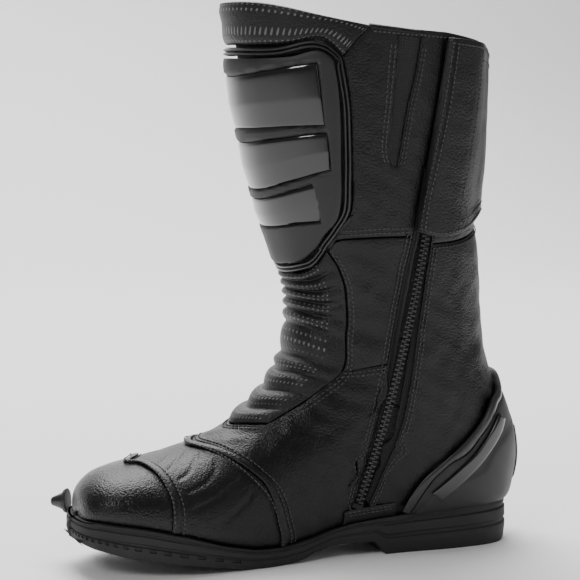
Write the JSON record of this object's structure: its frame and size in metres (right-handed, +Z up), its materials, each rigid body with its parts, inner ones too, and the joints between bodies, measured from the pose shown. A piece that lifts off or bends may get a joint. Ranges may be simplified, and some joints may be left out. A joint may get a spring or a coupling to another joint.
{
  "type": "riding boots",
  "caption": "Tall motorcycle riding boot for the right foot with moulded shin, heel and toe armour, inner side zip under a flap, ribbed ankle and rubber sole.",
  "frame": {"origin": "middle of the boot's plan, on the ground under the tread", "axes": "+Z up the shaft, toe towards -X, inner side with the zip towards -Y"},
  "size_m": [0.3124, 0.12, 0.3533],
  "materials": {
    "leather": "finely grained black leather, semi-gloss",
    "stretch": "black stretch fabric and woven tape",
    "armour": "moulded matte black plastic",
    "gloss": "gloss black plastic",
    "rubber": "black moulded rubber",
    "lining": "dark grey padded textile",
    "board": "pressed fibre board",
    "steel": "plain steel strip",
    "zip": "black moulded teeth",
    "zip_metal": "black enamelled metal",
    "touch_tape": "black touch fastener tape"
  },
  "bodies": {
    "foot": {"toe_cap": "leather", "shift_pad": "leather", "shift_pad_front_trim": "leather", "shift_pad_rear_trim": "leather", "vamp": "leather", "toe_puff": "board", "heel_cup_rim": "armour", "heel_cup": "armour", "heel_inlay_medial": "gloss", "heel_inlay_lateral": "gloss", "heel_guard": "gloss", "heel_counter": "board", "outsole": "rubber", "shank": "steel", "forefoot_filler": "board", "insole_board": "board", "footbed": "lining", "lining_foot": "lining", "toe_slider_base": "armour", "toe_slider_knob": "armour", "ankle_pad_medial": "lining", "ankle_pad_lateral": "lining", "zip_bottom_stop": "zip"},
    "shaft": {"ankle_panel_lateral": "leather", "ankle_panel_medial": "leather", "collar": "leather", "cuff_panel_lateral": "leather", "cuff_panel_medial": "leather", "flex_panel": "leather", "lining_ankle": "lining", "lining_shaft": "lining", "loop_patch": "touch_tape", "rear_cuff_panel": "leather", "rear_quarter_lateral": "leather", "rear_quarter_medial": "leather", "shin_pad": "lining", "shin_plate": "armour", "shin_plate_rim": "armour", "shin_window_lower": "gloss", "shin_window_middle": "gloss", "shin_window_upper": "gloss", "stretch_insert": "stretch", "zip_chain": "zip", "zip_tape_front": "stretch", "zip_tape_rear": "stretch", "zip_top_stop": "zip"},
    "slider": {"zip_slider": "zip_metal"},
    "pull": {"zip_pull": "zip_metal"},
    "flap": {"flap": "leather", "hook_patch": "touch_tape"}
  },
  "joints": [
    {"name": "ankle_flex", "type": "hinge", "parent": "foot", "child": "shaft", "pos_m": [0.04442, 0.00017, 0.105], "axis": [0, -1, 0], "range_deg": [0, 12], "stiffness_Nm_per_rad": 12, "deforming": ["flex_panel", "ankle_panel_medial", "ankle_panel_lateral", "rear_quarter_medial", "rear_quarter_lateral", "lining_ankle", "zip_chain", "zip_tape_front", "zip_tape_rear"]},
    {"name": "zip_slide", "type": "hinge", "parent": "shaft", "child": "slider", "pos_m": [-0.85068, -0.04483, 0.3363], "axis": [0.0117, 0.9984, 0.0548], "range_deg": [0, 12.3]},
    {"name": "zip_pull", "type": "hinge", "parent": "slider", "child": "pull", "pos_m": [0.07442, -0.05363, 0.2419], "axis": [-0.9948, 0.0061, 0.1014], "range_deg": [0, 3]},
    {"name": "flap_open", "type": "hinge", "parent": "shaft", "child": "flap", "pos_m": [0.06162, -0.05173, 0.2102], "axis": [-0.1633, 0.0269, -0.9862], "range_deg": [0, 110]}
  ]
}
